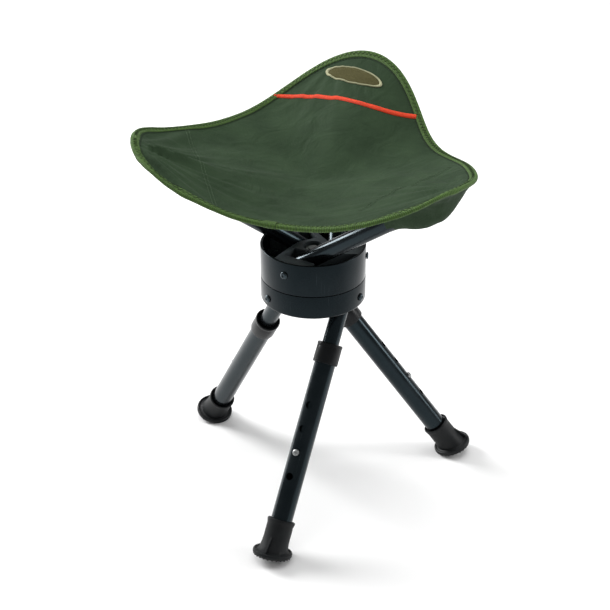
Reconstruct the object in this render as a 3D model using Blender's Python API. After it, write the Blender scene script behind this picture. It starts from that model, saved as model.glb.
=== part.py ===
"""Folding three-leg swivel stool, modelled at real size in metres, +Z up.

The origin is on the floor, under the swivel axis, and +Y points at the back corner of the seat.
Two turned hub rings hold a moulded core each. Three telescopic legs hang on rivets from the
lower ring, and three seat arms stand on rivets in the upper ring, which turns on the lower one
round a bolt. The cloth seat is held by its three corner pockets on the tips of the arms.
"""

import math

import bmesh
import bpy
from mathutils import Matrix, Vector

# Hub rings, from the floor up
RING_RADIUS = 0.0543
RING_WALL = 0.0025
HUB_BOTTOM = 0.2215
HUB_SPLIT = 0.2470
HUB_TOP = 0.2820
GAP = 0.0003
CORE_RADIUS = RING_RADIUS - RING_WALL - GAP

# Pivot rivets
PIN_RADIUS = 0.0025
PIN_HEAD_RADIUS = 0.0040
PIN_HEAD_HEIGHT = 0.0022
PIN_BORE = PIN_RADIUS + GAP

# Legs: each turns in a plane beside the swivel axis
LEG_NAMES = ("front_leg", "right_leg", "left_leg")
LEG_HEADING = -107.4
LEG_SIDE = 0.0363
LEG_PIN_Z = 0.2323
LEG_LEAN = 35.0
INNER_TUBE = (0.00875, 0.00755)
OUTER_TUBE = (0.0110, 0.0097)
INNER_TUBE_TOP = 0.0065
INNER_TUBE_END = 0.186
BUTTON_AT = 0.170
HOLE_PITCH = 0.025
HOLES = (-2, -1, 0, 1)
HOLE_RADIUS = 0.0038
BUTTON_RADIUS = 0.0035
BUTTON_PROUD = 0.0022
COLLAR_TOP = 0.0540
COLLAR_LENGTH = 0.0212
COLLAR_RADIUS = 0.0131
OUTER_TUBE_TOP = 0.0590
OUTER_TUBE_END = 0.2460
BOOT_TOP = 0.2400
BOOT_RADIUS = 0.0136
PAD_RADIUS = 0.0200
PAD_THICKNESS = 0.0050
PAD_TILT = 20.0
PAD_AT = 0.2762

# Seat arms: each turns in a plane beside the swivel axis, on the other hand. The cloth is cut
# a little tighter on the left, and holds that arm a little steeper.
ARM_NAMES = ("right_arm", "back_arm", "left_arm")
ARM_HEADING = -21.9
ARM_SIDE = 0.0240
ARM_PIN_Z = 0.2680
ARM_LEANS = (54.5, 54.5, 52.5)
ARM_TUBE = (0.0090, 0.0079)
ARM_ROOT = 0.0080
ARM_LENGTH = 0.1920

# Seat cloth: a sagging triangle with round corners and full sides. It hangs a little forward and
# lower towards the right, and its back corner is twisted on the arm that holds it.
SEAT_MEAN_RADIUS = 0.1607
SEAT_CORNER_SWELL = 0.0250
SEAT_FORWARD = 0.0075
SEAT_EDGE_Z = 0.3914
SEAT_CORNER_RISE = 0.0213
SEAT_CORNER_PEAK = 0.0026
SEAT_CENTRE_Z = 0.3520
SEAT_SAG = 1.4
SEAT_TILT = 0.0093
SEAT_TILT_BEARING = 150.0
SEAT_TWIST = 0.0190
SEAT_TWIST_SPREAD = 23.5
SEAT_THICKNESS = 0.0024

THIRD_TURNS = (0.0, 120.0, 240.0)

# Sides of the round pieces
RING_SIDES = 48
TUBE_SIDES = 20
ROD_SIDES = 12


# ---- shared making steps -------------------------------------------------------------------


def empty_scene():
    """Remove whatever the file holds."""
    for old in list(bpy.data.objects):
        bpy.data.objects.remove(old, do_unlink=True)


def finish(name, colour, roughness, metallic=0.0):
    """A plain finish of one colour."""
    material = bpy.data.materials.new(name)
    material.use_nodes = True
    shader = material.node_tree.nodes["Principled BSDF"]
    shader.inputs["Base Color"].default_value = (*colour, 1.0)
    shader.inputs["Roughness"].default_value = roughness
    shader.inputs["Metallic"].default_value = metallic
    return material


def mesh_from(bm, name):
    """Close the bmesh into a mesh with faces out and smooth round sides."""
    bmesh.ops.remove_doubles(bm, verts=bm.verts, dist=1e-6)
    bmesh.ops.recalc_face_normals(bm, faces=bm.faces)
    mesh = bpy.data.meshes.new(name)
    bm.to_mesh(mesh)
    bm.free()
    mesh.shade_smooth()
    mesh.set_sharp_from_angle(angle=math.radians(35))
    return mesh


def place(name, mesh, look, parent=None):
    """An object of its own for the mesh, in its own finish."""
    mesh = mesh.copy()
    mesh.name = name
    own = look.copy()
    own.name = name
    mesh.materials.clear()
    mesh.materials.append(own)
    made = bpy.data.objects.new(name, mesh)
    bpy.context.collection.objects.link(made)
    made.parent = parent
    return made


def turned(points, segments, closed=True):
    """A bmesh turned round Z from points (radius, height)."""
    bm = bmesh.new()
    ring = [bm.verts.new((r, 0.0, z)) for r, z in points]
    ends = ring[1:] + ring[:1] if closed else ring[1:]
    edges = [bm.edges.new(pair) for pair in zip(ring, ends)]
    bmesh.ops.spin(
        bm,
        geom=ring + edges,
        cent=(0, 0, 0),
        axis=(0, 0, 1),
        angle=math.tau,
        steps=segments,
        use_merge=True,
    )
    bmesh.ops.remove_doubles(bm, verts=bm.verts, dist=1e-6)
    bmesh.ops.recalc_face_normals(bm, faces=bm.faces)
    return bm


def pipe(outer, inner, low, high, segments=TUBE_SIDES):
    """A bmesh of a round tube along Z."""
    return turned([(inner, low), (inner, high), (outer, high), (outer, low)], segments)


def add_rod(bm, radius, start, end, segments=ROD_SIDES):
    """Add a plain rod between two points."""
    start, end = Vector(start), Vector(end)
    turn = (end - start).to_track_quat("Z", "Y").to_matrix().to_4x4()
    middle = Matrix.Translation((start + end) / 2)
    bmesh.ops.create_cone(
        bm,
        cap_ends=True,
        segments=segments,
        radius1=radius,
        radius2=radius,
        depth=(end - start).length,
        matrix=middle @ turn,
    )


def add_block(bm, low, high, turn=None):
    """Add a block between two corners, then turn it about the origin."""
    low, high = Vector(low), Vector(high)
    size = Matrix.Diagonal((*(high - low), 1.0))
    where = Matrix.Translation((low + high) / 2) @ size
    bmesh.ops.create_cube(bm, size=1.0, matrix=(turn or Matrix()) @ where)


def worked(body, *steps):
    """The mesh of a bmesh after Boolean steps, each (operation, bmesh)."""
    scratch = [bpy.data.objects.new("work", mesh_from(body, "work"))]
    bpy.context.collection.objects.link(scratch[0])
    for operation, tool in steps:
        cutter = bpy.data.objects.new("tool", mesh_from(tool, "tool"))
        cutter.hide_render = True
        cutter.display_type = "WIRE"
        bpy.context.collection.objects.link(cutter)
        scratch.append(cutter)
        boolean = scratch[0].modifiers.new("step", "BOOLEAN")
        boolean.operation = operation
        boolean.object = cutter
    bpy.context.view_layer.update()
    shaped = scratch[0].evaluated_get(bpy.context.evaluated_depsgraph_get())
    bm = bmesh.new()
    bm.from_mesh(shaped.to_mesh())
    shaped.to_mesh_clear()
    for made in scratch:
        bpy.data.objects.remove(made, do_unlink=True)
    return mesh_from(bm, "worked")


def about_z(degrees):
    return Matrix.Rotation(math.radians(degrees), 4, "Z")


def hexagonal_nut(across_corners, low, high, bore):
    """The mesh of a hexagonal nut along Z, bored right through."""
    bm = bmesh.new()
    add_rod(bm, across_corners / 2, (0, 0, low), (0, 0, high), segments=6)
    hole = bmesh.new()
    add_rod(hole, bore, (0, 0, low - GAP), (0, 0, high + GAP))
    return worked(bm, ("DIFFERENCE", hole))


# ---- finishes ------------------------------------------------------------------------------

empty_scene()
RING_PAINT = finish("ring_paint", (0.020, 0.025, 0.028), 0.35, 0.3)
CORE_PLASTIC = finish("core_plastic", (0.045, 0.055, 0.060), 0.45)
TUBE_PAINT = finish("tube_paint", (0.018, 0.023, 0.026), 0.32, 0.3)
TRIM_PLASTIC = finish("trim_plastic", (0.022, 0.026, 0.028), 0.5)
RUBBER = finish("rubber", (0.025, 0.030, 0.031), 0.7)
STEEL = finish("steel", (0.60, 0.61, 0.62), 0.3, 1.0)
RIVET_STEEL = finish("rivet_steel", (0.06, 0.06, 0.065), 0.35, 0.8)
NYLON = finish("nylon", (0.75, 0.74, 0.70), 0.5)
CLOTH = finish("cloth", (0.055, 0.095, 0.060), 0.85)
BINDING = finish("binding", (0.095, 0.180, 0.050), 0.85)
STRIPE = finish("stripe", (0.85, 0.09, 0.02), 0.7)
BADGE = finish("badge", (0.12, 0.11, 0.045), 0.6)


# ---- hub -----------------------------------------------------------------------------------


def side_direction(heading, hand):
    """The way a pivot rivet points, square to its leg or arm."""
    angle = math.radians(heading + 90.0 * hand)
    return Vector((math.cos(angle), math.sin(angle), 0.0))


LEG_RIVET_WAYS = [side_direction(LEG_HEADING + t, 1) for t in THIRD_TURNS]
ARM_RIVET_WAYS = [side_direction(ARM_HEADING + t, -1) for t in THIRD_TURNS]


def rivet_bores(ways, height, inner):
    """The bores for three pivot rivets, from a distance off the axis outwards."""
    bm = bmesh.new()
    for way in ways:
        level = Vector((0, 0, height))
        start, end = way * inner, way * (RING_RADIUS + 0.002)
        add_rod(bm, PIN_BORE, start + level, end + level)
    return bm


def lower_ring():
    """The ring round the legs' core, with its lower edge rounded."""
    inner = RING_RADIUS - RING_WALL
    top = HUB_SPLIT - GAP
    edge = 0.0030
    turn = [math.radians(a) for a in (0, -25, -50, -75)]
    corner = [
        (RING_RADIUS - edge + edge * math.cos(a), HUB_BOTTOM + edge + edge * math.sin(a))
        for a in turn
    ]
    ease = 0.0004
    rim = [(inner, top), (RING_RADIUS - ease, top), (RING_RADIUS, top - ease)]
    profile = rim + corner + [(inner, HUB_BOTTOM)]
    bores = rivet_bores(LEG_RIVET_WAYS, LEG_PIN_Z, RING_RADIUS - 2 * RING_WALL)
    return worked(turned(profile, RING_SIDES), ("DIFFERENCE", bores))


def upper_ring():
    """The ring round the arms' core, open at the top with an eased rim."""
    inner = RING_RADIUS - RING_WALL
    low, ease = HUB_SPLIT + GAP, 0.0007
    profile = [
        (inner, low),
        (inner, HUB_TOP - ease),
        (inner + ease, HUB_TOP),
        (RING_RADIUS - ease, HUB_TOP),
        (RING_RADIUS, HUB_TOP - ease),
        (RING_RADIUS, low + ease),
        (RING_RADIUS - ease, low),
    ]
    bores = rivet_bores(ARM_RIVET_WAYS, ARM_PIN_Z, RING_RADIUS - 2 * RING_WALL)
    return worked(turned(profile, RING_SIDES), ("DIFFERENCE", bores))


LOWER_CORE_TOP = 0.2462
LOWER_CORE_BOTTOM = 0.2225
LEG_SLOT_TOP = 0.2432
LEG_SLOT_HALF = INNER_TUBE[0] + 0.0005
BOLT_RADIUS = 0.0049
BOLT_BORE = BOLT_RADIUS + GAP
BOLT_HEAD_TOP = 0.2290
BOLT_HEAD_RECESS = 0.0098
LEG_RIVET_START = 0.0245
RECESS_RADIUS = 0.0080
RECESS_DEPTH = 0.0030


def lower_core():
    """The moulded block in the lower ring: leg slots, shallow recesses and a bolt seat."""
    body = bmesh.new()
    bottom, top = LOWER_CORE_BOTTOM, LOWER_CORE_TOP
    add_rod(body, CORE_RADIUS, (0, 0, bottom), (0, 0, top), RING_SIDES)
    slots = bmesh.new()
    recesses = bmesh.new()
    for turn, way in zip(THIRD_TURNS, LEG_RIVET_WAYS):
        low = (-0.0130, LEG_SIDE - LEG_SLOT_HALF, bottom - 0.002)
        high = (0.0210, LEG_SIDE + LEG_SLOT_HALF, LEG_SLOT_TOP)
        add_block(slots, low, high, about_z(LEG_HEADING + turn))
        spot = about_z(-54.0) @ way * 0.0330
        start, end = Vector((0, 0, bottom - 0.002)), Vector((0, 0, bottom + RECESS_DEPTH))
        add_rod(recesses, RECESS_RADIUS, spot + start, spot + end)
    head = (0, 0, BOLT_HEAD_TOP + 0.0005)
    add_rod(recesses, BOLT_HEAD_RECESS, (0, 0, bottom - 0.002), head)
    bore = bmesh.new()
    add_rod(bore, BOLT_BORE, (0, 0, bottom), (0, 0, top + 0.002))
    rivets = rivet_bores(LEG_RIVET_WAYS, LEG_PIN_Z, LEG_RIVET_START - GAP)
    steps = (slots, recesses, bore, rivets)
    return worked(body, *[("DIFFERENCE", tool) for tool in steps])


UPPER_CORE_BOTTOM = 0.2484
UPPER_DECK = 0.2630
BLOCK_TOP = 0.2785
BLOCK_BACK = -0.0180
BLOCK_SIDE = -0.0028
ARM_SLOT_FLOOR = 0.2555
ARM_SLOT_HALF = ARM_TUBE[0] + 0.0005
ARM_SLOT_BACK = -0.0130
ARM_SLOT_FRONT = 0.0330
BOSS_HOLE = 0.0105
BOSS_FLOOR = 0.2655
ARM_RIVET_START = 0.0130


def upper_core():
    """The moulded block in the upper ring: three slotted blocks round the bolt's deep hole.

    Behind each block the moulding drops to a low deck, which the next arm leaves over.
    """
    body = bmesh.new()
    add_rod(body, CORE_RADIUS, (0, 0, UPPER_CORE_BOTTOM), (0, 0, BLOCK_TOP), RING_SIDES)
    drops = bmesh.new()
    slots = bmesh.new()
    above = BLOCK_TOP + 0.002
    for turn in THIRD_TURNS:
        way = about_z(ARM_HEADING + turn)
        add_block(drops, (-0.0520, -0.0520, UPPER_DECK), (BLOCK_BACK, BLOCK_SIDE, above), way)
        low = (ARM_SLOT_BACK, -ARM_SIDE - ARM_SLOT_HALF, ARM_SLOT_FLOOR)
        high = (ARM_SLOT_FRONT, -ARM_SIDE + ARM_SLOT_HALF, above)
        add_block(slots, low, high, way)
    hole = bmesh.new()
    add_rod(hole, BOSS_HOLE, (0, 0, BOSS_FLOOR), (0, 0, above), segments=TUBE_SIDES)
    bore = bmesh.new()
    add_rod(bore, BOLT_BORE, (0, 0, UPPER_CORE_BOTTOM - 0.002), (0, 0, BOSS_FLOOR + 0.002))
    rivets = rivet_bores(ARM_RIVET_WAYS, ARM_PIN_Z, ARM_RIVET_START - GAP)
    return worked(body, *[("DIFFERENCE", tool) for tool in (drops, slots, hole, bore, rivets)])


def rivet(way, height, inner):
    """One pivot rivet: a round shank with a domed head outside the ring."""
    seat = RING_RADIUS + GAP
    dome = [math.radians(a) for a in (0, 30, 60, 90)]
    profile = [(0.0, 0.0), (PIN_RADIUS, 0.0), (PIN_RADIUS, seat - inner)]
    profile += [
        (PIN_HEAD_RADIUS * math.cos(a), seat - inner + PIN_HEAD_HEIGHT * math.sin(a))
        for a in dome[:-1]
    ]
    profile += [(0.0, seat - inner + PIN_HEAD_HEIGHT)]
    bm = turned(profile, ROD_SIDES, closed=False)
    turn = way.to_track_quat("Z", "Y").to_matrix().to_4x4()
    where = Matrix.Translation(way * inner + Vector((0, 0, height)))
    bmesh.ops.transform(bm, matrix=where @ turn, verts=bm.verts)
    return mesh_from(bm, "rivet")


def make_hub():
    """Both rings and cores, the rivets, and the bolt that the seat turns on."""
    place("lower_housing", lower_ring(), RING_PAINT)
    place("lower_core", lower_core(), CORE_PLASTIC)
    place("upper_housing", upper_ring(), RING_PAINT)
    place("upper_core", upper_core(), CORE_PLASTIC)
    for name, way in zip(LEG_NAMES, LEG_RIVET_WAYS):
        place(f"{name}_pivot_rivet", rivet(way, LEG_PIN_Z, LEG_RIVET_START), RIVET_STEEL)
    for name, way in zip(ARM_NAMES, ARM_RIVET_WAYS):
        place(f"{name}_pivot_rivet", rivet(way, ARM_PIN_Z, ARM_RIVET_START), RIVET_STEEL)
    low, high = LOWER_CORE_TOP + GAP, UPPER_CORE_BOTTOM - GAP
    washer = mesh_from(pipe(0.0440, BOLT_BORE + 0.001, low, high, RING_SIDES // 2), "washer")
    place("thrust_washer", washer, NYLON)
    bolt = bmesh.new()
    add_rod(bolt, 0.0092, (0, 0, 0.2229), (0, 0, BOLT_HEAD_TOP), segments=6)
    shank = bmesh.new()
    add_rod(shank, BOLT_RADIUS, (0, 0, BOLT_HEAD_TOP - 0.001), (0, 0, 0.2765))
    place("swivel_bolt", worked(bolt, ("UNION", shank)), STEEL)
    disc = mesh_from(pipe(0.0095, BOLT_BORE, BOSS_FLOOR + GAP, BOSS_FLOOR + 0.0015), "disc")
    place("swivel_washer", disc, STEEL)
    nut = hexagonal_nut(0.0184, BOSS_FLOOR + 0.0018, 0.2750, BOLT_BORE)
    place("swivel_nut", nut, STEEL)


# ---- legs ----------------------------------------------------------------------------------
# A leg's own frame: -Z runs down the tube from the rivet, +X is the tube's outer face and
# Y runs along the rivet. The holes and the button are on the +X side.


def leg_inner_tube():
    """The upper tube, cross-drilled for its rivet and for the snap button."""
    tube = pipe(*INNER_TUBE, -INNER_TUBE_END, INNER_TUBE_TOP)
    holes = bmesh.new()
    add_rod(holes, PIN_BORE, (0, -0.012, 0), (0, 0.012, 0))
    add_rod(holes, HOLE_RADIUS, (0.004, 0, -BUTTON_AT), (0.012, 0, -BUTTON_AT))
    return worked(tube, ("DIFFERENCE", holes))


def leg_outer_tube():
    """The lower tube with its row of height holes."""
    tube = pipe(*OUTER_TUBE, -OUTER_TUBE_END, -OUTER_TUBE_TOP)
    holes = bmesh.new()
    for step in HOLES:
        at = -(BUTTON_AT + step * HOLE_PITCH)
        add_rod(holes, HOLE_RADIUS, (0.006, 0, at), (0.014, 0, at))
    return worked(tube, ("DIFFERENCE", holes))


def leg_collar():
    """The moulded collar that caps the outer tube and guides the inner one."""
    top, end = -COLLAR_TOP, -(COLLAR_TOP + COLLAR_LENGTH)
    guide, grip = INNER_TUBE[0] + GAP, OUTER_TUBE[0] + GAP
    step = -OUTER_TUBE_TOP + GAP
    lip = 0.0012
    profile = [
        (guide, top),
        (COLLAR_RADIUS - lip, top),
        (COLLAR_RADIUS, top - lip),
        (COLLAR_RADIUS, end + lip),
        (COLLAR_RADIUS - lip, end),
        (grip, end),
        (grip, step),
        (guide, step),
    ]
    return mesh_from(turned(profile, TUBE_SIDES), "collar")


def leg_foot():
    """The rubber boot: a sleeve over the tube, a solid heel and a tilted round pad."""
    grip = OUTER_TUBE[0] + GAP
    floor_of_bore = -(OUTER_TUBE_END + GAP)
    sleeve = turned(
        [
            (0.0, floor_of_bore),
            (grip, floor_of_bore),
            (grip, -BOOT_TOP),
            (BOOT_RADIUS, -BOOT_TOP),
            (BOOT_RADIUS + 0.0004, -PAD_AT - 0.010),
            (0.0, -PAD_AT - 0.010),
        ],
        TUBE_SIDES,
        closed=False,
    )
    lean = Matrix.Rotation(math.radians(LEG_LEAN - PAD_TILT), 4, "Y")
    pad_middle = Matrix.Translation((0, 0, -PAD_AT)) @ lean
    ease = 0.0012
    pad = turned(
        [
            (0.0, 0.0),
            (PAD_RADIUS - ease, 0.0),
            (PAD_RADIUS, ease),
            (PAD_RADIUS, PAD_THICKNESS - ease),
            (PAD_RADIUS - ease, PAD_THICKNESS),
            (0.0, PAD_THICKNESS),
        ],
        28,
        closed=False,
    )
    bmesh.ops.transform(pad, matrix=pad_middle, verts=pad.verts)
    under = bmesh.new()
    add_block(under, (-0.04, -0.04, -0.04), (0.04, 0.04, 0.0))
    bmesh.ops.transform(under, matrix=pad_middle, verts=under.verts)
    floor = bmesh.new()
    add_block(floor, (-0.06, -0.06, -0.06), (0.06, 0.06, 0.0))
    upright = Matrix.Rotation(math.radians(LEG_LEAN), 4, "Y")
    floor_at = Matrix.Translation((0, 0, -LEG_PIN_Z / math.cos(math.radians(LEG_LEAN))))
    bmesh.ops.transform(floor, matrix=floor_at @ upright, verts=floor.verts)
    steps = (("DIFFERENCE", under), ("UNION", pad), ("DIFFERENCE", floor))
    return worked(sleeve, *steps)


def snap_button():
    """The round button of the height catch, domed where a finger presses it."""
    foot, face = 0.0056, OUTER_TUBE[0] + BUTTON_PROUD
    dome = 0.0010
    profile = [
        (0.0, foot),
        (BUTTON_RADIUS, foot),
        (BUTTON_RADIUS, face - dome),
        (BUTTON_RADIUS * 0.7, face - dome * 0.3),
        (0.0, face),
    ]
    bm = turned(profile, ROD_SIDES, closed=False)
    across = Matrix.Rotation(math.radians(90), 4, "Y")
    down = Matrix.Translation((0, 0, -BUTTON_AT))
    bmesh.ops.transform(bm, matrix=down @ across, verts=bm.verts)
    return mesh_from(bm, "button")


def button_spring():
    """The bent leaf inside the tube that pushes the button out."""
    leaf, half_width = 0.0008, 0.0028
    seat, back = 0.0053 - leaf, -0.0062
    bend = 0.030
    outer = [
        (seat + leaf, -BUTTON_AT - 0.004),
        (seat + leaf, -BUTTON_AT + 0.006),
        (-0.0008, -BUTTON_AT + bend),
        (back, -BUTTON_AT + 0.006),
        (back, -BUTTON_AT - 0.004),
    ]
    inner = [
        (back + leaf, -BUTTON_AT - 0.004),
        (back + leaf, -BUTTON_AT + 0.006),
        (-0.0008, -BUTTON_AT + bend - 3.0 * leaf),
        (seat, -BUTTON_AT + 0.006),
        (seat, -BUTTON_AT - 0.004),
    ]
    bm = bmesh.new()
    rim = [bm.verts.new((x, -half_width, z)) for x, z in outer + inner]
    face = bm.faces.new(rim)
    grown = bmesh.ops.extrude_face_region(bm, geom=[face])
    moved = [v for v in grown["geom"] if isinstance(v, bmesh.types.BMVert)]
    bmesh.ops.translate(bm, verts=moved, vec=(0, 2 * half_width, 0))
    bmesh.ops.triangulate(bm, faces=bm.faces)
    return mesh_from(bm, "spring")


def pivot_bush(radius, low, high):
    """The bush inside a tube that keeps the rivet from crushing it."""
    bush = bmesh.new()
    add_rod(bush, radius, (0, 0, low), (0, 0, high))
    bore = bmesh.new()
    add_rod(bore, PIN_BORE, (0, -0.012, 0), (0, 0.012, 0))
    return worked(bush, ("DIFFERENCE", bore))


def guide_plug():
    """The plug in the end of the inner tube, whose flange slides in the outer tube."""
    shank, flange = INNER_TUBE[1] - GAP, OUTER_TUBE[1] - GAP
    end = -INNER_TUBE_END - GAP
    profile = [
        (0.0, end + 0.009),
        (shank, end + 0.009),
        (shank, end),
        (flange, end),
        (flange, end - 0.003),
        (0.0, end - 0.003),
    ]
    return mesh_from(turned(profile, TUBE_SIDES, closed=False), "plug")


def make_legs():
    """Three legs, each in a frame that starts at its rivet and leans outwards."""
    parts = (
        ("inner_tube", leg_inner_tube(), TUBE_PAINT),
        ("outer_tube", leg_outer_tube(), TUBE_PAINT),
        ("collar", leg_collar(), TRIM_PLASTIC),
        ("foot", leg_foot(), RUBBER),
        ("snap_button", snap_button(), STEEL),
        ("button_spring", button_spring(), STEEL),
        ("pivot_bush", pivot_bush(INNER_TUBE[1] - GAP, -0.009, 0.0055), NYLON),
        ("guide_plug", guide_plug(), NYLON),
    )
    for name, turn, way in zip(LEG_NAMES, THIRD_TURNS, LEG_RIVET_WAYS):
        frame = bpy.data.objects.new(f"{name}_pivot", None)
        bpy.context.collection.objects.link(frame)
        frame.location = way * LEG_SIDE + Vector((0, 0, LEG_PIN_Z))
        lean = Matrix.Rotation(math.radians(-LEG_LEAN), 4, "Y")
        frame.rotation_euler = (about_z(LEG_HEADING + turn) @ lean).to_euler()
        for part, mesh, look in parts:
            place(f"{name}_{part}", mesh, look, frame)


# ---- seat arms -----------------------------------------------------------------------------
# An arm's own frame: +Z runs up the arm from its rivet, and Y runs along the rivet.


def arm_tube():
    """The seat arm: one tube, cross-drilled at its root."""
    tube = pipe(*ARM_TUBE, -ARM_ROOT, ARM_LENGTH)
    bore = bmesh.new()
    add_rod(bore, PIN_BORE, (0, -0.012, 0), (0, 0.012, 0))
    return worked(tube, ("DIFFERENCE", bore))


def arm_tip_cap():
    """The round cap plugged into the arm's tip, which the pocket bears on."""
    shank, dome = ARM_TUBE[1] - GAP, 0.0050
    start = ARM_LENGTH + GAP
    turn = [math.radians(a) for a in (0, 30, 60)]
    profile = [(0.0, start - 0.015), (shank, start - 0.015), (shank, start)]
    profile += [(ARM_TUBE[0] * math.cos(a), start + dome * math.sin(a)) for a in turn]
    profile += [(0.0, start + dome)]
    return mesh_from(turned(profile, TUBE_SIDES, closed=False), "cap")


def corner_pocket():
    """The cloth pocket under a seat corner: a trough round the arm, shut at its tip."""
    mouth, end = ARM_LENGTH - 0.0600, ARM_LENGTH + 0.0080
    inner, skin = 0.0106, 0.0016
    around = [math.radians(a) for a in range(-20, 201, 20)]
    outer_arc = [((inner + skin) * math.cos(a), (inner + skin) * math.sin(a)) for a in around]
    inner_arc = [(inner * math.cos(a), inner * math.sin(a)) for a in reversed(around)]
    bm = bmesh.new()
    rim = [bm.verts.new((y, x, mouth)) for x, y in outer_arc + inner_arc]
    face = bm.faces.new(rim)
    grown = bmesh.ops.extrude_face_region(bm, geom=[face])
    moved = [v for v in grown["geom"] if isinstance(v, bmesh.types.BMVert)]
    bmesh.ops.translate(bm, verts=moved, vec=(0, 0, end - mouth))
    wall = bmesh.new()
    rim = [wall.verts.new((y, x, end - skin)) for x, y in outer_arc]
    face = wall.faces.new(rim)
    grown = bmesh.ops.extrude_face_region(wall, geom=[face])
    moved = [v for v in grown["geom"] if isinstance(v, bmesh.types.BMVert)]
    bmesh.ops.translate(wall, verts=moved, vec=(0, 0, skin))
    return worked(bm, ("UNION", wall))


def make_arms():
    """Three arms, each in a frame that starts at its rivet and leans outwards."""
    parts = (
        ("tube", arm_tube(), TUBE_PAINT),
        ("pivot_bush", pivot_bush(ARM_TUBE[1] - GAP, -0.007, 0.009), NYLON),
        ("tip_cap", arm_tip_cap(), TRIM_PLASTIC),
        ("corner_pocket", corner_pocket(), CLOTH),
    )
    for name, turn, way, tip in zip(ARM_NAMES, THIRD_TURNS, ARM_RIVET_WAYS, ARM_LEANS):
        frame = bpy.data.objects.new(f"{name}_pivot", None)
        bpy.context.collection.objects.link(frame)
        frame.location = way * ARM_SIDE + Vector((0, 0, ARM_PIN_Z))
        lean = Matrix.Rotation(math.radians(tip), 4, "Y")
        frame.rotation_euler = (about_z(ARM_HEADING + turn) @ lean).to_euler()
        for part, mesh, look in parts:
            place(f"{name}_{part}", mesh, look, frame)


# ---- seat ----------------------------------------------------------------------------------


def seat_edge(degrees):
    """The radius and height of the seat's edge at a bearing; corners at 90, 210 and 330."""
    wave = math.cos(math.radians(3 * (degrees - 90)))
    forward = SEAT_FORWARD * math.sin(math.radians(degrees))
    radius = SEAT_MEAN_RADIUS + SEAT_CORNER_SWELL * wave - forward
    level = SEAT_EDGE_Z + SEAT_CORNER_RISE * wave + SEAT_CORNER_PEAK * (2 * wave * wave - 1)
    tilt = SEAT_TILT * math.cos(math.radians(degrees - SEAT_TILT_BEARING))
    past = ((degrees + 90) % 360 - 180) / SEAT_TWIST_SPREAD
    twist = -SEAT_TWIST * past * math.exp((1 - past * past) / 2)
    return radius, level + tilt + twist


def seat_height(x, y):
    """The height of the cloth's top face over a point of the plan."""
    reach = math.hypot(x, y)
    radius, edge = seat_edge(math.degrees(math.atan2(y, x)))
    return SEAT_CENTRE_Z + (edge - SEAT_CENTRE_Z) * (reach / radius) ** SEAT_SAG


def seat_cloth():
    """The cloth as a thin sagging sheet."""
    shares, segments = (0.2, 0.42, 0.64, 0.84, 0.965, 1.0), 54
    bm = bmesh.new()
    faces_up = []
    for drop in (0.0, SEAT_THICKNESS):
        centre = bm.verts.new((0, 0, SEAT_CENTRE_Z - drop))
        previous = None
        for share in shares:
            row = []
            for step in range(segments):
                bearing = 360 * step / segments
                radius = seat_edge(bearing)[0] * share
                x = radius * math.cos(math.radians(bearing))
                y = radius * math.sin(math.radians(bearing))
                row.append(bm.verts.new((x, y, seat_height(x, y) - drop)))
            for i in range(segments):
                j = (i + 1) % segments
                if previous:
                    bm.faces.new((previous[i], row[i], row[j], previous[j]))
                else:
                    bm.faces.new((centre, row[i], row[j]))
            previous = row
        faces_up.append(previous)
    top, bottom = faces_up
    for i in range(segments):
        j = (i + 1) % segments
        bm.faces.new((top[i], bottom[i], bottom[j], top[j]))
    return mesh_from(bm, "cloth")


def edge_binding():
    """The tape folded round the edge of the cloth, a channel all the way round."""
    segments = 54
    reach, lap, skin = 0.0016, 0.0058, 0.0009
    inside, half = 0.0004, SEAT_THICKNESS / 2 + 2 * GAP
    section = [
        (inside, half),
        (inside, -half),
        (-lap, -half),
        (-lap, -half - skin),
        (reach, -half - skin),
        (reach, half + skin),
        (-lap, half + skin),
        (-lap, half),
    ]
    bm = bmesh.new()
    rows = []
    for step in range(segments):
        bearing = 360 * step / segments
        radius, _ = seat_edge(bearing)
        row = []
        for out, up in section:
            x = (radius + out) * math.cos(math.radians(bearing))
            y = (radius + out) * math.sin(math.radians(bearing))
            height = seat_height(x, y) - SEAT_THICKNESS / 2
            row.append(bm.verts.new((x, y, height + up)))
        rows.append(row)
    for i, row in enumerate(rows):
        following = rows[(i + 1) % segments]
        for k in range(len(section)):
            m = (k + 1) % len(section)
            bm.faces.new((row[k], row[m], following[m], following[k]))
    return mesh_from(bm, "binding")


def laid_on_cloth(outline, thickness):
    """A thin solid on the cloth's top face, with the given plan outline of quad rows."""
    bm = bmesh.new()
    layers = []
    lowest = 3 * GAP
    for lift in (lowest, lowest + thickness):
        rows = [[bm.verts.new((x, y, seat_height(x, y) + lift)) for x, y in row] for row in outline]
        layers.append(rows)
    for rows in layers:
        for a, b in zip(rows, rows[1:]):
            for i in range(len(a) - 1):
                bm.faces.new((a[i], a[i + 1], b[i + 1], b[i]))
    low, high = layers
    rim_low = low[0] + [row[-1] for row in low[1:]] + low[-1][-2::-1]
    rim_low += [row[0] for row in low[-2:0:-1]]
    rim_high = high[0] + [row[-1] for row in high[1:]] + high[-1][-2::-1]
    rim_high += [row[0] for row in high[-2:0:-1]]
    for i in range(len(rim_low)):
        j = (i + 1) % len(rim_low)
        bm.faces.new((rim_low[i], rim_low[j], rim_high[j], rim_high[i]))
    return mesh_from(bm, "laid")


def stripe_line(x):
    """The plan line of the piping: it crosses the back corner and drops towards the right."""
    return 0.1195 - 0.23 * x


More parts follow.
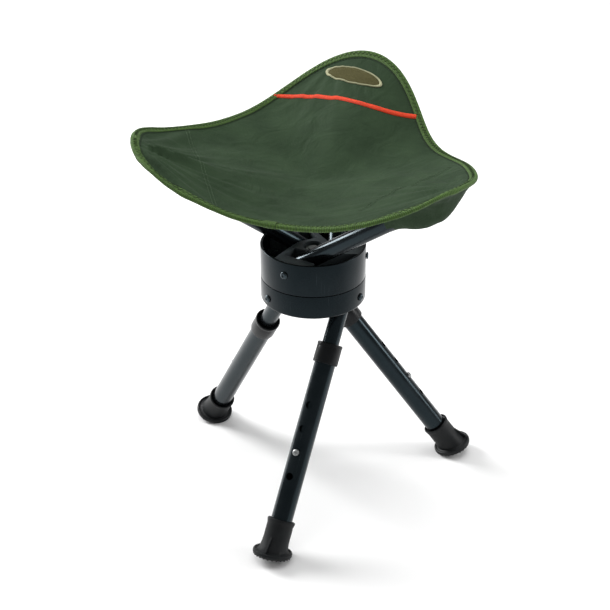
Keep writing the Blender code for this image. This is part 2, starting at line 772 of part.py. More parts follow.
def make_seat():
    """The cloth, its binding, the piping across the back corner and the badge."""
    place("seat_cloth", seat_cloth(), CLOTH)
    place("edge_binding", edge_binding(), BINDING)
    half_width, left, right, steps = 0.0018, -0.0645, 0.0850, 26
    columns = [left + (right - left) * i / steps for i in range(steps + 1)]
    rows = [[(x, stripe_line(x) + side * half_width) for x in columns] for side in (-1, 1)]
    place("piping_stripe", laid_on_cloth(rows, 0.0012), STRIPE)
    badge_x, badge_y, badge_slant, badge_long, badge_tall = 0.0165, 0.1460, -0.48, 0.0340, 0.0078
    rows = []
    for i in range(9):
        across = badge_long * math.sin(math.radians(20 * (i - 4))) / math.sin(math.radians(80))
        tall = badge_tall * math.sqrt(max(0.02, 1 - (across / badge_long) ** 2))
        middle = badge_y + badge_slant * across
        rows.append([(badge_x + across, middle + tall * k / 2) for k in (-2, -1, 0, 1, 2)])
    place("badge", laid_on_cloth(rows, 0.0016), BADGE)


make_hub()
make_legs()
make_arms()
make_seat()
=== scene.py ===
import math

import bmesh
import bpy
from mathutils import Matrix, Vector, noise


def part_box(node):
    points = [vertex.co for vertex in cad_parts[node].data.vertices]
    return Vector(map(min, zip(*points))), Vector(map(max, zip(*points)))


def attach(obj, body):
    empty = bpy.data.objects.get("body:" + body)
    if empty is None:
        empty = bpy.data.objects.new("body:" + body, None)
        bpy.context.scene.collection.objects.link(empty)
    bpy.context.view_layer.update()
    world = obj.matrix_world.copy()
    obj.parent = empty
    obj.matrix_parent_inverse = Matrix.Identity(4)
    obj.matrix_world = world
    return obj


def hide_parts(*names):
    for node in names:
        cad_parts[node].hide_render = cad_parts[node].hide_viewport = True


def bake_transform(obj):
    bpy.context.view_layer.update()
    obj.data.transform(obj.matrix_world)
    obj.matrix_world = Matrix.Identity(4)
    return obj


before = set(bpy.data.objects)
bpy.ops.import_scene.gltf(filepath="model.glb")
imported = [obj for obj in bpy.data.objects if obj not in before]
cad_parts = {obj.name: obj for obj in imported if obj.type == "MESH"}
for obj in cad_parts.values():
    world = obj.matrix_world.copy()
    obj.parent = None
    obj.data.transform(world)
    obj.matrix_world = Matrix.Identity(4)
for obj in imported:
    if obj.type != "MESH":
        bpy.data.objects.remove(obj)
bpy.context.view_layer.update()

# ---- Hub rings -----------------------------------------------------------------------------
# Two short rings turned from aluminium tube, one over the other, satin black. The upper one
# turns on the lower one with a hair gap between them. Each is spun from its wall section, and
# its edges are eased with a fine bevel.

ring_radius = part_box("lower_housing")[1][0]
ring_wall = 0.0025
upper_low, upper_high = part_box("upper_housing")[0][2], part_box("upper_housing")[1][2]
lower_low, lower_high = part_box("lower_housing")[0][2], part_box("lower_housing")[1][2]


def wire(tree, kind, inputs=None, **settings):
    """Add a node. An input is a plain value, or the socket that feeds it."""
    made = tree.nodes.new(kind)
    for name, value in settings.items():
        setattr(made, name, value)
    for key, value in (inputs or {}).items():
        if isinstance(value, bpy.types.NodeSocket):
            tree.links.new(value, made.inputs[key])
        else:
            made.inputs[key].default_value = value
    return made


def new_finish(name):
    """A material with its shader, and the place on the piece that its pattern reads."""
    look = bpy.data.materials.new(name)
    look.use_nodes = True
    tree = look.node_tree
    shader = tree.nodes["Principled BSDF"]
    return look, tree, shader, wire(tree, "ShaderNodeTexCoord").outputs["Object"]


def roughen(tree, shader, height, strength, depth, under=None):
    """A bump on the shader from a height, over another bump if one is given."""
    inputs = {"Strength": strength, "Distance": depth, "Height": height}
    if under:
        inputs["Normal"] = under
    tree.links.new(wire(tree, "ShaderNodeBump", inputs).outputs[0], shader.inputs["Normal"])


def between(tree, shader, value, low, high, start=0.0, end=1.0):
    """The shader's roughness, from low to high as the value goes from start to end."""
    span = wire(tree, "ShaderNodeMapRange", {
        "Value": value, "From Min": start, "From Max": end, "To Min": low, "To Max": high,
    })
    tree.links.new(span.outputs[0], shader.inputs["Roughness"])


def ramp(tree, factor, stops):
    """A colour ramp with the given (position, colour) stops."""
    made = wire(tree, "ShaderNodeValToRGB", {"Fac": factor})
    made.color_ramp.elements[0].position = stops[0][0]
    made.color_ramp.elements[0].color = (*stops[0][1], 1.0)
    made.color_ramp.elements[1].position = stops[-1][0]
    made.color_ramp.elements[1].color = (*stops[-1][1], 1.0)
    for position, colour in stops[1:-1]:
        made.color_ramp.elements.new(position).color = (*colour, 1.0)
    return made.outputs["Color"]


def along(tree, place, frame_matrix):
    """The place on the piece in the frame of a turned tube, so that a pattern runs along it."""
    spot, turn, _ = frame_matrix.decompose()
    mapping = wire(tree, "ShaderNodeMapping", {"Vector": place}, vector_type="TEXTURE")
    mapping.inputs["Location"].default_value = spot
    mapping.inputs["Rotation"].default_value = turn.to_euler()
    return mapping.outputs["Vector"]


def satin_black(name, frame_matrix=Matrix(), dark=0.0022, light=0.0060, gloss=0.19, shine=0.34):
    """Powder-coated black: a faint orange peel, soft cloudy sheen and fine lengthwise rubs."""
    look, tree, shader, place = new_finish(name)
    place = along(tree, place, frame_matrix)
    cloud = wire(tree, "ShaderNodeTexNoise", {"Vector": place, "Scale": 38.0, "Detail": 4.0})
    tone = ramp(tree, cloud.outputs["Fac"], [
        (0.35, (dark, dark * 1.18, dark * 1.35)),
        (0.70, (light, light * 1.14, light * 1.28)),
    ])
    drawn = wire(tree, "ShaderNodeMapping", {"Vector": place, "Scale": (900.0, 900.0, 22.0)})
    rub = wire(tree, "ShaderNodeTexNoise", {"Vector": drawn.outputs[0], "Scale": 1.0, "Detail": 3.0})
    rubbed = wire(tree, "ShaderNodeMapRange", {
        "Value": rub.outputs["Fac"], "From Min": 0.66, "From Max": 0.80,
    })
    bare = (0.026, 0.031, 0.035, 1.0)
    worn = wire(tree, "ShaderNodeMix", {0: rubbed.outputs[0], 6: tone, 7: bare}, data_type="RGBA")
    tree.links.new(worn.outputs[2], shader.inputs["Base Color"])
    between(tree, shader, cloud.outputs["Fac"], gloss - 0.05, gloss + 0.09, 0.3, 0.75)
    peel = wire(tree, "ShaderNodeTexNoise", {"Vector": place, "Scale": 1300.0, "Detail": 2.0})
    roughen(tree, shader, peel.outputs["Fac"], 0.22, 0.00006)
    shader.inputs["Specular IOR Level"].default_value = shine
    shader.inputs["Specular Tint"].default_value = (0.55, 0.82, 0.95, 1.0)
    return look


def turned(outline, steps=128):
    """A bmesh spun round Z from an outline of (radius, height), left open where it meets Z."""
    bm = bmesh.new()
    spots = [bm.verts.new((r, 0.0, z)) for r, z in outline]
    pairs = list(zip(spots, spots[1:]))
    if outline[0][0] > 0.0:
        pairs.append((spots[-1], spots[0]))
    edges = [bm.edges.new(pair) for pair in pairs]
    bmesh.ops.spin(
        bm, geom=spots + edges, cent=(0, 0, 0), axis=(0, 0, 1), angle=math.tau, steps=steps, use_merge=True
    )
    bmesh.ops.remove_doubles(bm, verts=bm.verts, dist=1e-7)
    bmesh.ops.dissolve_degenerate(bm, edges=bm.edges, dist=1e-7)
    bmesh.ops.recalc_face_normals(bm, faces=bm.faces)
    return bm


def eased(bm, width, segments=3, above=30.0):
    """The bmesh with every edge sharper than the given angle bevelled."""
    sharp = [
        e for e in bm.edges
        if len(e.link_faces) == 2 and math.degrees(e.calc_face_angle(0.0)) > above
    ]
    bmesh.ops.bevel(
        bm, geom=sharp, offset=width, offset_type="OFFSET", segments=segments, profile=0.5,
        affect="EDGES", material=-1, clamp_overlap=True,
    )
    return bm


def piece(name, bm, look, place=Matrix(), sharp=32.0):
    """A finished mesh at its place, in its own finish and under the given name."""
    bmesh.ops.transform(bm, matrix=place, verts=bm.verts)
    mesh = bpy.data.meshes.new(name)
    bm.to_mesh(mesh)
    bm.free()
    mesh.shade_smooth()
    mesh.set_sharp_from_angle(angle=math.radians(sharp))
    mesh.materials.append(look)
    made = bpy.data.objects.new(name, mesh)
    bpy.context.collection.objects.link(made)
    return made


ring_paint = satin_black("hub ring satin black", shine=0.18)
inside = ring_radius - ring_wall
heel = 0.003
lower_edge = [
    (ring_radius - heel + heel * math.cos(a), lower_low + heel + heel * math.sin(a))
    for a in (math.radians(-10 * k) for k in range(9))
]
lower_outline = [(inside, lower_high), (ring_radius, lower_high)] + lower_edge
lower_outline += [(ring_radius - 0.0026, lower_low), (inside, lower_low)]
lower_ring = piece("lower_ring", eased(turned(lower_outline, 160), 0.00045), ring_paint)
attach(lower_ring, "lower_hub")
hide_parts("lower_housing")

upper_outline = [
    (inside, upper_low), (inside, upper_high), (ring_radius, upper_high), (ring_radius, upper_low),
]
upper_ring = piece("upper_ring", eased(turned(upper_outline, 160), 0.00065, 4), ring_paint)
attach(upper_ring, "upper_hub")
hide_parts("upper_housing")

# ---- Hub cores -----------------------------------------------------------------------------
# A glass-filled nylon block fills each ring. It has a deep slot for the root of every leg or
# arm, a cheek beside it for the rivet and a boss for the bolt. The moulded shapes come from
# the frame, are merged and get the small radii that a mould leaves.


def moulded(name, pale, frame_matrix=Matrix(), rough=0.46):
    """Moulded grey-black nylon: a fine spark texture, flow clouds and dull rubbed spots."""
    look, tree, shader, place = new_finish(name)
    place = along(tree, place, frame_matrix)
    flow = wire(tree, "ShaderNodeTexNoise", {
        "Vector": place, "Scale": 60.0, "Detail": 5.0, "Distortion": 0.6,
    })
    tone = ramp(tree, flow.outputs["Fac"], [
        (0.3, tuple(0.72 * c for c in pale)), (0.55, pale), (0.8, tuple(1.3 * c for c in pale)),
    ])
    tree.links.new(tone, shader.inputs["Base Color"])
    between(tree, shader, flow.outputs["Fac"], rough - 0.06, rough + 0.08, 0.3, 0.7)
    spark = wire(tree, "ShaderNodeTexNoise", {"Vector": place, "Scale": 2200.0, "Detail": 3.0})
    roughen(tree, shader, spark.outputs["Fac"], 0.35, 0.00008)
    shader.inputs["Specular IOR Level"].default_value = 0.22
    return look


def from_frame(node, dist=1e-6):
    """A bmesh of a frame node, merged into one skin and cleared of its flat cuts."""
    bm = bmesh.new()
    bm.from_mesh(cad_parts[node].data)
    bmesh.ops.remove_doubles(bm, verts=bm.verts, dist=dist)
    bmesh.ops.dissolve_limit(
        bm, angle_limit=math.radians(1.0), verts=bm.verts, edges=bm.edges, delimit={"NORMAL"}
    )
    return bm


def round_edges(made, width, above=40):
    """A bevel on the sharp edges of a finished piece."""
    bevel = made.modifiers.new("eased edges", "BEVEL")
    bevel.width = width
    bevel.segments = 2
    bevel.limit_method = "ANGLE"
    bevel.angle_limit = math.radians(above)


core_plastic = moulded("core moulded nylon", (0.060, 0.072, 0.078))
for node, body in (("lower_core", "lower_hub"), ("upper_core", "upper_hub")):
    core = piece(node.replace("core", "hub_block"), from_frame(node), core_plastic)
    round_edges(core, 0.0004, above=35)
    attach(core, body)
    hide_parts(node)

# ---- Pivot rivets --------------------------------------------------------------------------
# Six blackened steel rivets, one for the root of each leg and arm. Each goes in through the
# ring from outside, and its round head has a drawn centre left by the setting tool.

leg_names = ("front_leg", "right_leg", "left_leg")
arm_names = ("right_arm", "back_arm", "left_arm")
leg_heading, arm_heading, third = -107.4, -21.9, 120.0
leg_side, leg_pin_z, leg_lean = 0.0363, 0.2323, 35.0
arm_side, arm_pin_z, arm_leans = 0.0240, 0.2680, (54.5, 54.5, 52.5)


def pivot_frame(heading, hand, side, height, lean):
    """A frame at a rivet: Z runs along the folded tube, and it leans outwards by the angle."""
    way = math.radians(heading + 90.0 * hand)
    origin = Matrix.Translation((side * math.cos(way), side * math.sin(way), height))
    heads = Matrix.Rotation(math.radians(heading), 4, "Z")
    return origin @ heads @ Matrix.Rotation(math.radians(lean), 4, "Y")


leg_frames = [pivot_frame(leg_heading + third * k, 1, leg_side, leg_pin_z, -leg_lean) for k in range(3)]
arm_frames = [
    pivot_frame(arm_heading + third * k, -1, arm_side, arm_pin_z, arm_leans[k]) for k in range(3)
]
rivet_black = satin_black("blackened rivet steel", dark=0.014, light=0.030, gloss=0.26, shine=0.5)
head_seat = ring_radius + 0.0003
head_outline = [(0.0, 0.0), (0.0025, 0.0), (0.0025, head_seat), (0.0040, head_seat)]
head_outline += [
    (0.0017 + 0.0023 * math.cos(a), head_seat + 0.0004 + 0.0017 * math.sin(a))
    for a in (math.radians(15 * k) for k in range(7))
]
head_outline += [(0.0013, head_seat + 0.0016), (0.0011, head_seat + 0.0011), (0.0, head_seat + 0.0010)]
leg_rivet_start, arm_rivet_start = 0.0245, 0.0130
rivets = [
    (name, leg_heading + third * k + 90, leg_pin_z, leg_rivet_start, "lower_hub")
    for k, name in enumerate(leg_names)
]
rivets += [
    (name, arm_heading + third * k - 90, arm_pin_z, arm_rivet_start, "upper_hub")
    for k, name in enumerate(arm_names)
]
for name, way, height, start, body in rivets:
    outward = Matrix.Rotation(math.radians(way), 4, "Z") @ Matrix.Rotation(math.radians(90), 4, "Y")
    outline = [(r, max(z, start)) for r, z in head_outline]
    rivet = piece(
        f"{name}_rivet", turned(outline, 40), rivet_black,
        Matrix.Translation((0, 0, height)) @ outward,
    )
    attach(rivet, body)
    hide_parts(f"{name}_pivot_rivet")

# ---- Swivel bolt and its washers -----------------------------------------------------------
# A zinc-plated bolt, washer and nut clamp the two blocks, with a nylon slip washer between
# them. They lie deep in the hub, so they keep the frame's shapes and get their own finish.


def refinish(node, look):
    """The node kept as it is, in a finish of its own."""
    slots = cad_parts[node].data.materials
    slots.clear()
    slots.append(look)


def zinc(name):
    """Zinc plate: blue-grey crystals, a soft drawn grain and a few dull patches."""
    look, tree, shader, place = new_finish(name)
    crystal = wire(tree, "ShaderNodeTexVoronoi", {"Vector": place, "Scale": 900.0})
    tone = ramp(tree, crystal.outputs["Distance"], [
        (0.0, (0.20, 0.21, 0.22)), (0.6, (0.30, 0.31, 0.31)), (1.0, (0.38, 0.38, 0.37)),
    ])
    tree.links.new(tone, shader.inputs["Base Color"])
    dull = wire(tree, "ShaderNodeTexNoise", {"Vector": place, "Scale": 240.0, "Detail": 4.0})
    between(tree, shader, dull.outputs["Fac"], 0.22, 0.5)
    roughen(tree, shader, dull.outputs["Fac"], 0.2, 0.00005)
    shader.inputs["Metallic"].default_value = 0.9
    return look


plate = zinc("zinc plate")
natural_nylon = moulded("natural nylon", (0.62, 0.60, 0.53), rough=0.5)
for node in ("swivel_bolt", "swivel_washer", "swivel_nut"):
    refinish(node, plate)
refinish("thrust_washer", natural_nylon)

# ---- Leg tubes -----------------------------------------------------------------------------
# Every leg is a thin steel tube that slides in a wider one, both powder-coated satin black.
# The wider tube has a row of round height holes, punched and coated with the tube, and the
# thin one turns on its rivet over a nylon bush.

thin_radius, thin_bore, thin_end, thin_root = 0.00875, 0.00755, -0.186, 0.0065
wide_radius, wide_bore, wide_end, wide_top = 0.0110, 0.0097, -0.2460, -0.0590
button_at, hole_pitch, hole_radius = 0.170, 0.025, 0.0038
hole_steps = (-2, -1, 0, 1)


def solid(bm, name="blank"):
    """A plain object from a bmesh, for a cut or a join."""
    mesh = bpy.data.meshes.new(name)
    bm.to_mesh(mesh)
    bm.free()
    made = bpy.data.objects.new(name, mesh)
    bpy.context.collection.objects.link(made)
    return made


def worked(bm, *steps):
    """The bmesh after exact cuts and joins, each an operation and the bmesh it uses."""
    body = solid(bm)
    tools = [(operation, solid(tool, "tool")) for operation, tool in steps]
    for operation, tool in tools:
        step = body.modifiers.new(operation, "BOOLEAN")
        step.operation, step.object, step.solver = operation, tool, "EXACT"
    bpy.context.view_layer.update()
    shape = body.evaluated_get(bpy.context.evaluated_depsgraph_get()).to_mesh()
    result = bmesh.new()
    result.from_mesh(shape)
    for made in [body] + [tool for _, tool in tools]:
        bpy.data.objects.remove(made)
    bmesh.ops.remove_doubles(result, verts=result.verts, dist=2e-6)
    return result


def rod(radius, start, end, segments=36):
    """A round bar between two points."""
    start, end = Vector(start), Vector(end)
    bm = bmesh.new()
    bmesh.ops.create_cone(
        bm, cap_ends=True, segments=segments, radius1=radius, radius2=radius, depth=(end - start).length
    )
    turn = (end - start).to_track_quat("Z", "Y").to_matrix().to_4x4()
    bmesh.ops.transform(bm, matrix=Matrix.Translation((start + end) / 2) @ turn, verts=bm.verts)
    return bm


def joined(parts):
    """One bmesh that holds all the given ones."""
    whole = bmesh.new()
    for part in parts:
        mesh = bpy.data.meshes.new("part")
        part.to_mesh(mesh)
        part.free()
        whole.from_mesh(mesh)
        bpy.data.meshes.remove(mesh)
    return whole


def pipe(outer, inner, low, high, ease=0.0004):
    """A straight tube along Z with eased ends."""
    outline = [(inner, low), (outer - ease, low), (outer, low + ease), (outer, high - ease)]
    outline += [(outer - ease, high), (inner, high)]
    return turned(outline, 72)


leg_looks = [satin_black(f"{name} satin black", place) for name, place in zip(leg_names, leg_frames)]
cross_bore = (0.0028, (0, -0.014, 0), (0, 0.014, 0))
for name, place, look in zip(leg_names, leg_frames, leg_looks):
    bores = joined([
        rod(*cross_bore),
        rod(hole_radius, (0.004, 0, -button_at), (0.013, 0, -button_at)),
    ])
    thin = worked(pipe(thin_radius, thin_bore, thin_end, thin_root), ("DIFFERENCE", bores))
    inner_tube = piece(f"{name}_thin_tube", thin, look, place)
    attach(inner_tube, name)
    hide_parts(f"{name}_inner_tube")
    spots = [-(button_at + step * hole_pitch) for step in hole_steps]
    holes = joined([rod(hole_radius, (0.006, 0, z), (0.014, 0, z)) for z in spots])
    wide = worked(pipe(wide_radius, wide_bore, wide_end, wide_top), ("DIFFERENCE", holes))
    outer_tube = piece(f"{name}_wide_tube", wide, look, place)
    round_edges(outer_tube, 0.00035)
    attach(outer_tube, f"{name}_extension")
    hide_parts(f"{name}_outer_tube")
    refinish(f"{name}_pivot_bush", natural_nylon)
    refinish(f"{name}_guide_plug", natural_nylon)

# ---- Leg collars and snap buttons ----------------------------------------------------------
# A black nylon collar caps each wide tube. It has an open lip at the top and a stepped skirt.
# A bright steel button stands out of one hole of every tube, pushed by a leaf spring inside.

collar_outline = [
    (0.0092, -0.0556), (0.0113, -0.0556), (0.0116, -0.0541), (0.0123, -0.0537), (0.0130, -0.0541),
    (0.0133, -0.0550), (0.0132, -0.0562), (0.0129, -0.0572), (0.0130, -0.0585), (0.0131, -0.0740),
    (0.0128, -0.0750), (0.0122, -0.0753), (0.0113, -0.0753), (0.0113, -0.0587), (0.0092, -0.0587),
]
button_radius, button_foot, button_shoulder, button_dome = 0.0034, 0.0056, 0.0117, 0.0015
button_outline = [(0.0, button_foot), (button_radius, button_foot), (button_radius, button_shoulder)]
button_outline += [
    (button_radius * math.cos(a), button_shoulder + button_dome * math.sin(a))
    for a in (math.radians(10 * k) for k in range(1, 9))
]
button_outline += [(0.0, button_shoulder + button_dome)]
button_steel = zinc("bright button steel")
sideways = Matrix.Translation((0, 0, -button_at)) @ Matrix.Rotation(math.radians(90), 4, "Y")
for name, place in zip(leg_names, leg_frames):
    trim = moulded(f"{name} collar black nylon", (0.0038, 0.0048, 0.0056), place, rough=0.30)
    collar = piece(f"{name}_guide_collar", turned(collar_outline, 72), trim, place)
    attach(collar, f"{name}_extension")
    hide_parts(f"{name}_collar")
    button = piece(
        f"{name}_button", turned(button_outline, 40), button_steel, place @ sideways, 50
    )
    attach(button, f"{name}_button")
    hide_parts(f"{name}_snap_button")
    refinish(f"{name}_button_spring", plate)

# ---- Rubber feet ---------------------------------------------------------------------------
# One black rubber moulding on the end of each tube: a sleeve with a thick open lip, a heel
# that swells and a tilted round pad with a raised rim, a gusset and small treads under it.

pad_at, pad_tilt = 0.2762, 20.0
tread_radius, tread_ring = 0.0011, 0.0186


def black_rubber(name, frame_matrix):
    """Moulded rubber: soft bloom in patches and a fine matt texture."""
    look, tree, shader, place = new_finish(name)
    place = along(tree, place, frame_matrix)
    bloom = wire(tree, "ShaderNodeTexNoise", {"Vector": place, "Scale": 70.0, "Detail": 5.0})
    tone = ramp(tree, bloom.outputs["Fac"], [
        (0.3, (0.0035, 0.0045, 0.0052)), (0.6, (0.0060, 0.0074, 0.0082)), (0.8, (0.011, 0.013, 0.014)),
    ])
    tree.links.new(tone, shader.inputs["Base Color"])
    between(tree, shader, bloom.outputs["Fac"], 0.40, 0.62)
    grain = wire(tree, "ShaderNodeTexNoise", {"Vector": place, "Scale": 1700.0, "Detail": 2.0})
    roughen(tree, shader, grain.outputs["Fac"], 0.3, 0.00008)
    shader.inputs["Specular IOR Level"].default_value = 0.22
    return look


sleeve_outline = [
    (0.0, -0.2463), (0.0113, -0.2463), (0.0113, -0.2424), (0.0127, -0.2420), (0.0129, -0.2400),
    (0.0136, -0.2396), (0.0143, -0.2402), (0.0144, -0.2414), (0.0140, -0.2432), (0.0136, -0.2448),
    (0.0136, -0.2590), (0.0139, -0.2640), (0.0147, -0.2690), (0.0156, -0.2730), (0.0160, -pad_at - 0.010),
    (0.0, -pad_at - 0.010),
]
pad_outline = [
    (0.0, 0.0), (0.0186, 0.0), (0.0197, 0.0005), (0.0202, 0.0015), (0.0203, 0.0034), (0.0199, 0.0047),
    (0.0189, 0.0053), (0.0181, 0.0050), (0.0176, 0.0044), (0.0166, 0.0046), (0.0140, 0.0062), (0.0, 0.0062),
]
pad_frame = Matrix.Translation((0, 0, -pad_at)) @ Matrix.Rotation(math.radians(leg_lean - pad_tilt), 4, "Y")
floor_frame = Matrix.Translation((0, 0, -leg_pin_z / math.cos(math.radians(leg_lean))))
floor_frame = floor_frame @ Matrix.Rotation(math.radians(leg_lean), 4, "Y")


def below(place_matrix, size=0.08):
    """A block whose top face is the plane z = 0 of the given frame."""
    bm = bmesh.new()
    bmesh.ops.create_cube(bm, size=size)
    bmesh.ops.transform(bm, matrix=place_matrix @ Matrix.Translation((0, 0, -size / 2)), verts=bm.verts)
    return bm


def gusset():
    """The thin upright web between the sleeve and the pad's outer rim."""
    bm = bmesh.new()
    bmesh.ops.create_cube(bm, size=1.0)
    for v in bm.verts:
        low = v.co.z < 0
        out = v.co.x > 0
        v.co.x = (0.0195 if low else 0.0140) if out else 0.0100
        v.co.y *= 0.0024
        v.co.z = -0.2745 if low else -0.2585
    return bm


def treads(count=26):
    """Small lumps round the pad's underside."""
    lumps = []
    for k in range(count):
        a = math.tau * k / count
        lump = bmesh.new()
        bmesh.ops.create_uvsphere(lump, u_segments=8, v_segments=6, radius=tread_radius)
        spot = (tread_ring * math.cos(a), tread_ring * math.sin(a), 0.0003)
        bmesh.ops.translate(lump, verts=lump.verts, vec=spot)
        lumps.append(lump)
    return joined(lumps)


for name, place in zip(leg_names, leg_frames):
    pad = turned(pad_outline, 72)
    bmesh.ops.transform(pad, matrix=pad_frame, verts=pad.verts)
    tread = treads()
    bmesh.ops.transform(tread, matrix=pad_frame, verts=tread.verts)
    steps = [("DIFFERENCE", below(pad_frame)), ("UNION", gusset()), ("UNION", pad), ("UNION", tread)]
    steps.append(("DIFFERENCE", below(floor_frame)))
    boot = worked(turned(sleeve_outline, 72), *steps)
    foot = piece(f"{name}_boot", boot, black_rubber(f"{name} black rubber", place), place, 38)
    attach(foot, f"{name}_extension")
    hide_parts(f"{name}_foot")

# ---- Seat arms -----------------------------------------------------------------------------
# Three satin black tubes that swing out of the upper hub and hold the seat's corners. Each
# one turns on its rivet over a nylon bush, and a round black cap closes the tip.

arm_radius, arm_bore, arm_root, arm_end = 0.0090, 0.0079, -0.0080, 0.1920
for name, place in zip(arm_names, arm_frames):
    bare = worked(pipe(arm_radius, arm_bore, arm_root, arm_end), ("DIFFERENCE", rod(*cross_bore)))
    look = satin_black(f"{name} satin black", place)
    arm = piece(f"{name}_swing_tube", bare, look, place)
    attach(arm, name)
    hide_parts(f"{name}_tube")
    refinish(f"{name}_pivot_bush", natural_nylon)
    refinish(f"{name}_tip_cap", moulded(f"{name} cap black nylon", (0.010, 0.012, 0.013), place))

# ---- Seat cloth ----------------------------------------------------------------------------
# A plain-woven green polyester triangle that the arms pull out by its three corners, so it
# sags in the middle and fans into soft creases. Its six sectors meet edge to edge.

corners = (("right_arm", 330), ("back_arm", 90), ("left_arm", 210))
crease_depths = {330: 0.9, 90: 0.20, 210: 1.25}
crease_reach, crease_start = 0.120, 0.030
ridge_height, fine_height, slow_height = 0.0066, 0.0022, 0.0026
cloth_thickness = 0.0022
# The bluntness of the two front corners: where, how far the edge pulls in, how far it drops.
rounding = ((204, 0.0095, 0.0030), (190, 0.0, 0.0030), (352, 0.0090, 0.0), (338, 0.0045, 0.0075))
seat_centre = Vector((0.0, 0.0, 0.3520))
seat_mean, corner_swell, seat_forward = 0.1607, 0.0250, 0.0075
edge_height, corner_rise, corner_peak = 0.3914, 0.0213, 0.0026
front_twist, twist_spread = 0.0190, 23.5
side_tilt, tilt_bearing = 0.0093, 150
rounding_spread = 12.5
sag_power = 1.4
half_sector, edge_inset = 60.0, 0.0004
wave_scale = 0.314  # a Wave texture's scale times the length of one wave


def seat_edge(bearing):
    """The radius and height of the cloth's edge at a bearing in degrees."""
    wave = math.cos(math.radians(3 * (bearing - 90)))
    radius = seat_mean + corner_swell * wave - seat_forward * math.sin(math.radians(bearing))
    dip = 0.0
    for middle, back, drop in rounding:
        off = (bearing - middle + 180) % 360 - 180
        radius -= back * math.exp(-((off / rounding_spread) ** 2))
        dip += drop * math.exp(-((off / rounding_spread) ** 2))
    past = ((bearing + 90) % 360 - 180) / twist_spread
    twist = -front_twist * past * math.exp((1 - past * past) / 2)
    tilt = side_tilt * math.cos(math.radians(bearing - tilt_bearing))
    height = edge_height + corner_rise * wave + corner_peak * (2 * wave * wave - 1)
    return radius, height + tilt + twist - dip


def creases(x, y):
    """How far the cloth stands up at a point: creases out of each corner, and slow waves."""
    high = 0.0
    for _, bearing in corners:
        reach = seat_edge(bearing)[0]
        way = Vector((math.cos(math.radians(bearing)), math.sin(math.radians(bearing))))
        back = way * reach - Vector((x, y))
        gone = back.length
        fan = math.atan2(way.x * back.y - way.y * back.x, way.dot(back))
        strength = math.exp(-((gone / crease_reach) ** 2)) * min(1.0, gone / crease_start)
        strength *= crease_depths[bearing]
        ridge = noise.noise(Vector((fan * 4.2, gone * 6.0, bearing)))
        fine = noise.noise(Vector((fan * 11.0, gone * 14.0, bearing + 7.0)))
        high += strength * (ridge_height * ridge + fine_height * fine)
    slow = noise.noise(Vector((x * 9.0, y * 17.0, 2.0)))
    return high + slow_height * slow


def on_seat(x, y, lift=0.0):
    """The point of the cloth's top face over a point of the plan."""
    radius, edge = seat_edge(math.degrees(math.atan2(y, x)))
    share = math.hypot(x, y) / radius
    calm = min(1.0, max(0.0, (1.02 - share) / 0.14))
    low = seat_centre.z + (edge - seat_centre.z) * share ** sag_power
    return Vector((x, y, low + creases(x, y) * (0.35 + 0.65 * calm) + lift))


def near_edge(bearing, out, lift=0.0):
    """The point of the cloth's top face at a distance outside its edge."""
    radius, turn = seat_edge(bearing)[0] + out, math.radians(bearing)
    return on_seat(radius * math.cos(turn), radius * math.sin(turn), lift)


def folding(made):
    """The piece with its place baked into its mesh."""
    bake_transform(made)


def plan_map(bm):
    """Texture coordinates in metres of the plan, so that the weave keeps to the cloth."""
    layer = bm.loops.layers.uv.new("plan")
    for face in bm.faces:
        for loop in face.loops:
            loop[layer].uv = loop.vert.co.xy


def skin(rows, columns, spot, thickness):
    """A thin solid sheet: a grid whose points are set by spot(u, v), with u and v from 0 to 1."""
    bm = bmesh.new()
    bmesh.ops.create_grid(bm, x_segments=rows, y_segments=columns, size=0.5)
    for v in bm.verts:
        v.co = spot(v.co.x + 0.5, v.co.y + 0.5)
    bmesh.ops.remove_doubles(bm, verts=bm.verts, dist=1e-6)
    bmesh.ops.recalc_face_normals(bm, faces=bm.faces)
    if sum(f.normal.z * f.calc_area() for f in bm.faces) < 0:
        bmesh.ops.reverse_faces(bm, faces=bm.faces)
    bmesh.ops.solidify(bm, geom=bm.faces[:], thickness=thickness)
    bmesh.ops.recalc_face_normals(bm, faces=bm.faces)
    plan_map(bm)
    return bm


